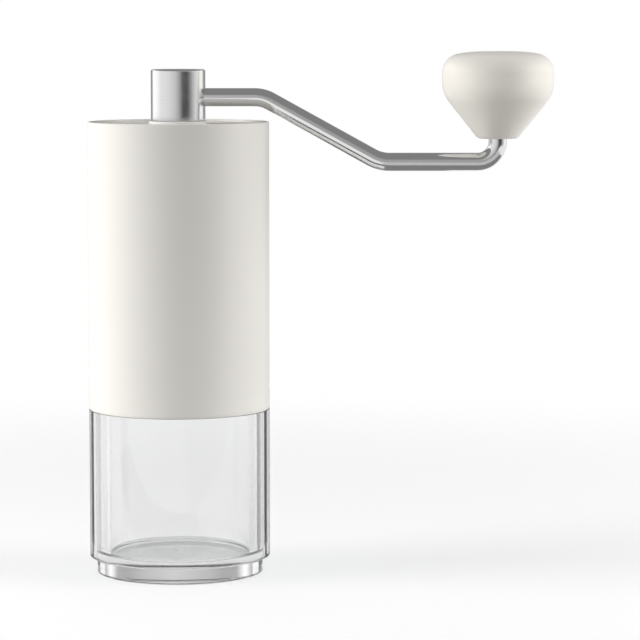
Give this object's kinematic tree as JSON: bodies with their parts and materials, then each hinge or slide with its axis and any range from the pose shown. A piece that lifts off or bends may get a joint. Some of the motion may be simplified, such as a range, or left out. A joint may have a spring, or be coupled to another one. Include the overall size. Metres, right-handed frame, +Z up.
{
  "type": "hand crank coffee grinder",
  "caption": "Upright cylindrical hand coffee grinder: white barrel with conical burrs over a clear cup, and a bent steel crank arm with a round turning knob.",
  "frame": {"origin": "on the barrel's axis, at the lower face of the cup's foot", "axes": "+Z up along the barrel's axis, +X towards the crank's knob, +Y away from the front"},
  "size_m": [0.154, 0.06, 0.1731],
  "materials": {
    "clear_cup": "clear moulded, polished",
    "white_shell": "satin off-white",
    "white_liner": "matt off-white",
    "cast_frame": "fine blasted",
    "burr_steel": "ground, dark from hardening",
    "bearing_steel": "polished",
    "shaft_steel": "turned",
    "crank_steel": "fine satin",
    "spring_steel": "drawn wire",
    "screw_steel": "plain",
    "seal_rubber": "translucent silicone",
    "dial_aluminium": "blasted",
    "bush_plastic": "self-lubricating, natural white",
    "white_knob": "satin off-white"
  },
  "bodies": {
    "cup": {"cup": "clear_cup", "cup_seal": "seal_rubber"},
    "barrel": {"barrel_shell": "white_shell", "snap_ring": "spring_steel", "burr_housing": "cast_frame", "outer_burr": "burr_steel", "housing_screws": "screw_steel", "lower_bracket": "cast_frame", "hopper_sleeve": "white_liner", "upper_bracket": "cast_frame", "lower_bearing_outer": "bearing_steel", "upper_bearing_outer": "bearing_steel", "lower_bearing_seals": "seal_rubber", "upper_bearing_seals": "seal_rubber"},
    "shaft": {"drive_shaft": "shaft_steel", "lower_bearing_inner": "bearing_steel", "upper_bearing_inner": "bearing_steel", "lower_bearing_balls": "bearing_steel", "upper_bearing_balls": "bearing_steel", "shaft_clips": "spring_steel", "spring_washer": "shaft_steel", "burr_spring": "spring_steel"},
    "burr": {"inner_burr": "burr_steel", "click_plate": "shaft_steel"},
    "dial": {"adjustment_dial": "dial_aluminium", "detent_balls": "bearing_steel", "detent_springs": "spring_steel"},
    "lid": {"lid": "white_shell", "lid_seal": "seal_rubber", "hub_collar": "bush_plastic"},
    "crank": {"crank_hub": "crank_steel", "crank_arm": "crank_steel", "hub_clip": "spring_steel"},
    "knob": {"knob_shell": "white_knob", "knob_sleeve": "bush_plastic", "knob_clip": "spring_steel"}
  },
  "joints": [
    {"name": "barrel_lift", "type": "slide", "parent": "cup", "child": "barrel", "axis": [0, 0, 1], "range_m": [0, 0.075]},
    {"name": "crank_turn", "type": "hinge", "parent": "barrel", "child": "shaft", "pos_m": [0, 0, 0.15], "axis": [0, 0, 1], "continuous": true},
    {"name": "burr_gap", "type": "slide", "parent": "shaft", "child": "burr", "axis": [0, 0, 1], "range_m": [-0.00112, 0.00038], "deforming": ["burr_spring"]},
    {"name": "dial_turn", "type": "hinge", "parent": "burr", "child": "dial", "pos_m": [0, 0, 0.0626], "axis": [0, 0, 1], "range_deg": [-540, 180]},
    {"name": "crank_lift", "type": "slide", "parent": "shaft", "child": "crank", "axis": [0, 0, 1], "range_m": [0, 0.04]},
    {"name": "lid_lift", "type": "slide", "parent": "barrel", "child": "lid", "axis": [0, 0, 1], "range_m": [0, 0.04]},
    {"name": "knob_spin", "type": "hinge", "parent": "crank", "child": "knob", "pos_m": [0.1055, 0, 0.158], "axis": [0, 0, 1], "continuous": true}
  ],
  "couplings": [
    {"joint": "dial_turn", "follows": "burr_gap", "rad_per_m": 8377.6},
    {"joint": "lid_lift", "follows": "crank_lift", "ratio": 1}
  ]
}
